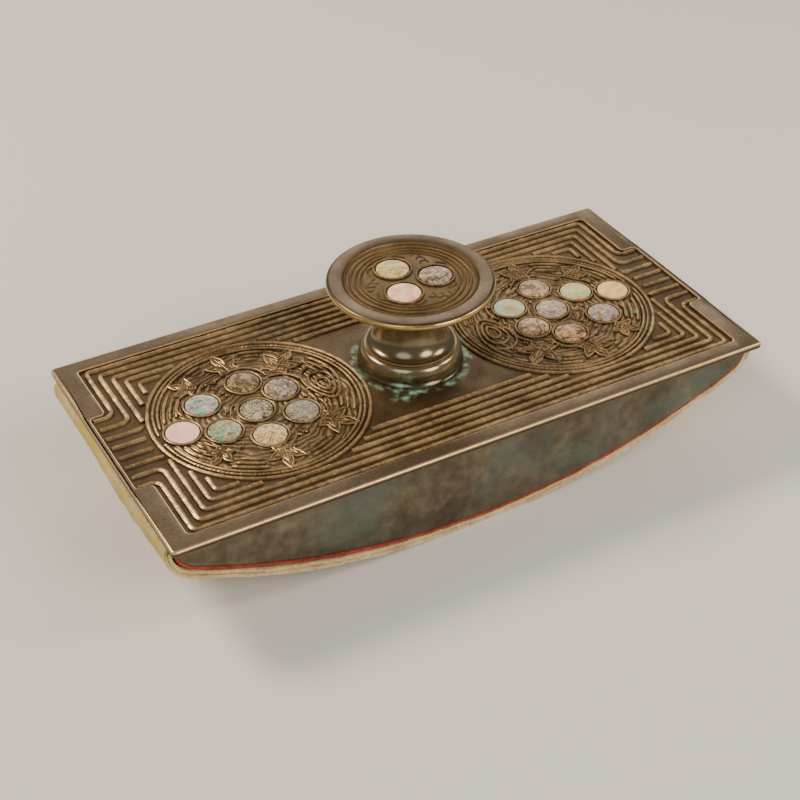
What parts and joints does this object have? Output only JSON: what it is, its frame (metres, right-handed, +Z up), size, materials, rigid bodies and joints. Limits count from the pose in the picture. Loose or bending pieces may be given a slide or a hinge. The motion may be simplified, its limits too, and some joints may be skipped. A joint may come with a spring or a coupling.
{
  "type": "rocker blotter",
  "caption": "Desk rocker blotter: a flat bronze plate inlaid with shell discs, held by a waisted knob that screws it down on a curved body wrapped in blotting paper.",
  "frame": {"origin": "bottom centre of the curved sole, on the desk, under the middle of the knob", "axes": "+X along the blotter's length, +Y to the back, +Z up through the knob"},
  "size_m": [0.1476, 0.07, 0.047],
  "materials": {
    "plate_bronze": "cast bronze, brown patina rubbed bright on the raised lines",
    "knob_bronze": "turned bronze, dark patina worn to brass at the rim",
    "body_bronze": "bronze sheet, mottled grey-green patina",
    "inner_bronze": "bronze, dull brown inside faces",
    "bright_brass": "machined brass, unpolished",
    "red_paper": "matt red blotting paper",
    "blotting_paper": "matt cream blotting paper, yellowed and frayed",
    "pale_shell": "polished pale pink to cream shell",
    "green_shell": "polished yellow-green shell with dark figure",
    "blue_shell": "polished blue-green shell with dark figure",
    "lilac_shell": "polished grey-lilac shell with dark figure"
  },
  "bodies": {
    "rocker": {"front_cheek": "body_bronze", "back_cheek": "body_bronze", "sole_plate": "inner_bronze", "left_end_bar": "inner_bronze", "right_end_bar": "inner_bronze", "centre_bridge": "inner_bronze", "threaded_bush": "bright_brass", "red_underlay": "red_paper", "inner_blotter": "blotting_paper", "outer_blotter": "blotting_paper"},
    "plate": {"top_plate": "plate_bronze", "knob_collar": "knob_bronze", "left_shell_1": "pale_shell", "left_shell_2": "blue_shell", "left_shell_3": "green_shell", "left_shell_4": "pale_shell", "left_shell_5": "blue_shell", "left_shell_6": "lilac_shell", "left_shell_7": "pale_shell", "left_shell_8": "lilac_shell", "right_shell_1": "pale_shell", "right_shell_2": "green_shell", "right_shell_3": "lilac_shell", "right_shell_4": "lilac_shell", "right_shell_5": "lilac_shell", "right_shell_6": "pale_shell", "right_shell_7": "green_shell", "right_shell_8": "lilac_shell"},
    "knob": {"knob": "knob_bronze", "knob_stud": "bright_brass", "stud_clip": "bright_brass", "knob_shell_1": "green_shell", "knob_shell_2": "pale_shell", "knob_shell_3": "lilac_shell"}
  },
  "joints": [
    {"name": "plate_lift", "type": "slide", "parent": "rocker", "child": "plate", "axis": [0, 0, 1], "range_m": [0, 0.00762]},
    {"name": "knob_turn", "type": "hinge", "parent": "plate", "child": "knob", "pos_m": [0, 0, 0.026], "axis": [0, 0, 1], "range_deg": [0, 2160.1]}
  ],
  "couplings": [
    {"joint": "knob_turn", "follows": "plate_lift", "rad_per_m": 4947.4}
  ]
}
